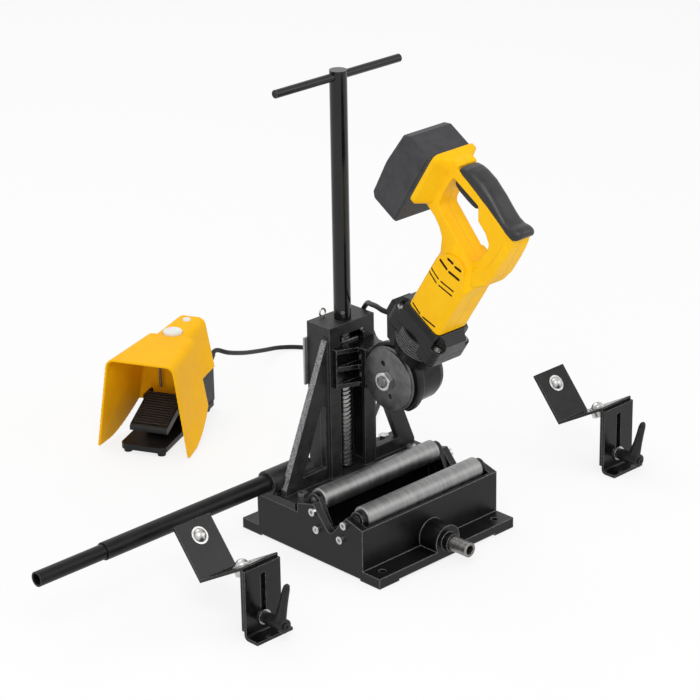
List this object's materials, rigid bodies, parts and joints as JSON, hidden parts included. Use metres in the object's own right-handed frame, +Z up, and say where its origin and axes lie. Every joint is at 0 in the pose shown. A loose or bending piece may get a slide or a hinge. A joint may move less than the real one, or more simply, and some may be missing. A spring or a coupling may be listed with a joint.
{
  "type": "pipe cutting machine",
  "caption": "Bench pipe cutting machine: driven cutter wheel fed down by a T-handle spindle onto a roller base, with a hooded foot switch and V pipe supports.",
  "frame": {"origin": "floor under the pipe axis, at the middle of the base", "axes": "+X along the pipe away from the wheel nut, +Y from the operator to the column, +Z up"},
  "size_m": [0.916, 0.8111, 0.6285],
  "materials": {
    "cast_black": "satin black paint on cast iron",
    "powder_black": "textured black powder coat",
    "gloss_black": "gloss black paint",
    "ground_steel": "ground steel",
    "tool_steel": "dark satin tool steel",
    "bright_steel": "bright zinc plating",
    "bronze": "plain bronze",
    "grey_plate": "pale grey paint",
    "yellow_shell": "semi-gloss yellow plastic",
    "yellow_hood": "semi-gloss orange-yellow plastic",
    "black_rubber": "matt black rubber",
    "black_plastic": "matt black plastic",
    "grey_plastic": "matt dark grey plastic",
    "white_plastic": "white plastic"
  },
  "bodies": {
    "frame_set": {"base_casting": "cast_black", "front_spigot": "ground_steel", "bearing_blocks": "powder_black", "roller_axles": "ground_steel", "block_screws": "bright_steel", "upright_frame": "powder_black", "frame_bolts": "bright_steel", "rear_cover": "grey_plate", "cable_eye": "bright_steel", "cord_clips": "black_plastic", "bar_sleeve": "powder_black", "spindle_bush": "bronze", "fs_base": "black_plastic", "fs_feet": "black_rubber", "fs_pin": "ground_steel", "fs_hood": "yellow_hood", "fs_plug": "white_plastic", "fs_rod": "ground_steel", "fs_gland": "black_rubber", "foot_cord": "black_rubber", "support_feet": "powder_black"},
    "feed_screw": {"feed_spindle": "ground_steel", "handle_post": "gloss_black", "tommy_bar": "gloss_black"},
    "slide": {"carriage": "gloss_black", "feed_nut": "bronze", "gear_housing": "gloss_black", "gear_cover": "gloss_black", "head_screws": "bright_steel", "shaft_bearings": "ground_steel", "motor_unit": "ground_steel", "motor_adapter": "gloss_black", "adapter_screws": "bright_steel", "housing_left": "yellow_shell", "housing_right": "yellow_shell", "grip_cover": "black_rubber", "drive_gland": "black_rubber"},
    "cutter": {"wheel_shaft": "ground_steel", "crown_gear": "ground_steel", "cutter_wheel": "tool_steel", "wheel_flange": "tool_steel", "wheel_nut": "bright_steel"},
    "pinion": {"drive_pinion": "ground_steel"},
    "trigger_key": {"trigger": "black_plastic"},
    "battery": {"battery_pack": "grey_plastic"},
    "latch": {"battery_latch": "black_plastic"},
    "roller_front": {"front_roller": "ground_steel"},
    "roller_rear": {"rear_roller": "ground_steel"},
    "pedal": {"fs_pedal": "black_plastic"},
    "reset_button": {"fs_button": "white_plastic"},
    "side_tube": {"bar_tube": "powder_black"},
    "support_left": {"saddle_left": "powder_black", "ball_units_left": "bright_steel", "clamp_stud_left": "bright_steel"},
    "support_right": {"saddle_right": "powder_black", "ball_units_right": "bright_steel", "clamp_stud_right": "bright_steel"},
    "lever_left": {"clamp_lever_left": "black_plastic"},
    "lever_right": {"clamp_lever_right": "black_plastic"}
  },
  "joints": [
    {"name": "feed_turn", "type": "hinge", "parent": "frame_set", "child": "feed_screw", "pos_m": [0, 0.101, 0.3], "axis": [0, 0, 1], "range_deg": [-3600, 600]},
    {"name": "carriage_feed", "type": "slide", "parent": "frame_set", "child": "slide", "axis": [0, 0, 1], "range_m": [-0.0601, 0.0101], "deforming": ["foot_cord"]},
    {"name": "wheel_spin", "type": "hinge", "parent": "slide", "child": "cutter", "pos_m": [-0.0135, 0, 0.23302], "axis": [1, 0, 0], "continuous": true},
    {"name": "pinion_spin", "type": "hinge", "parent": "slide", "child": "pinion", "pos_m": [0.0096, 0, 0.23302], "axis": [0, -0.5373, 0.8434], "continuous": true},
    {"name": "front_roller_spin", "type": "hinge", "parent": "frame_set", "child": "roller_front", "pos_m": [0, -0.04, 0.0783], "axis": [1, 0, 0], "continuous": true},
    {"name": "rear_roller_spin", "type": "hinge", "parent": "frame_set", "child": "roller_rear", "pos_m": [0, 0.04, 0.0783], "axis": [1, 0, 0], "continuous": true},
    {"name": "trigger_pull", "type": "slide", "parent": "slide", "child": "trigger_key", "axis": [0, -0.5373, 0.8434], "range_m": [0, 0.006], "stiffness_N_per_m": 800, "springref_m": -0.004},
    {"name": "battery_slide", "type": "slide", "parent": "slide", "child": "battery", "axis": [0, 0.5373, -0.8434], "range_m": [0, 0.07]},
    {"name": "latch_press", "type": "slide", "parent": "battery", "child": "latch", "axis": [0, -0.5373, 0.8434], "range_m": [0, 0.003], "stiffness_N_per_m": 600, "springref_m": -0.003},
    {"name": "pedal_press", "type": "hinge", "parent": "frame_set", "child": "pedal", "pos_m": [0.01839, 0.48988, 0.046], "axis": [0.4384, -0.8988, 0], "range_deg": [0, 7], "stiffness_Nm_per_rad": 8, "springref_deg": -4.58},
    {"name": "reset_press", "type": "slide", "parent": "frame_set", "child": "reset_button", "axis": [0, 0, -1], "range_m": [0, 0.004], "stiffness_N_per_m": 800, "springref_m": -0.003},
    {"name": "side_tube_slide", "type": "slide", "parent": "frame_set", "child": "side_tube", "axis": [1, 0, 0], "range_m": [-0.12, 0.095]},
    {"name": "saddle_lift_left", "type": "slide", "parent": "frame_set", "child": "support_left", "axis": [0, 0, 1], "range_m": [0, 0.055]},
    {"name": "lever_turn_left", "type": "hinge", "parent": "support_left", "child": "lever_left", "pos_m": [-0.3075, -0.09, 0.023], "axis": [0, 1, 0], "range_deg": [-70, 70]},
    {"name": "saddle_lift_right", "type": "slide", "parent": "frame_set", "child": "support_right", "axis": [0, 0, 1], "range_m": [0, 0.055]},
    {"name": "lever_turn_right", "type": "hinge", "parent": "support_right", "child": "lever_right", "pos_m": [0.367, -0.09, 0.023], "axis": [0, 1, 0], "range_deg": [-70, 70]}
  ],
  "couplings": [
    {"joint": "carriage_feed", "follows": "feed_turn", "m_per_rad": 0.00095493},
    {"joint": "pinion_spin", "follows": "wheel_spin", "ratio": -2.8}
  ]
}
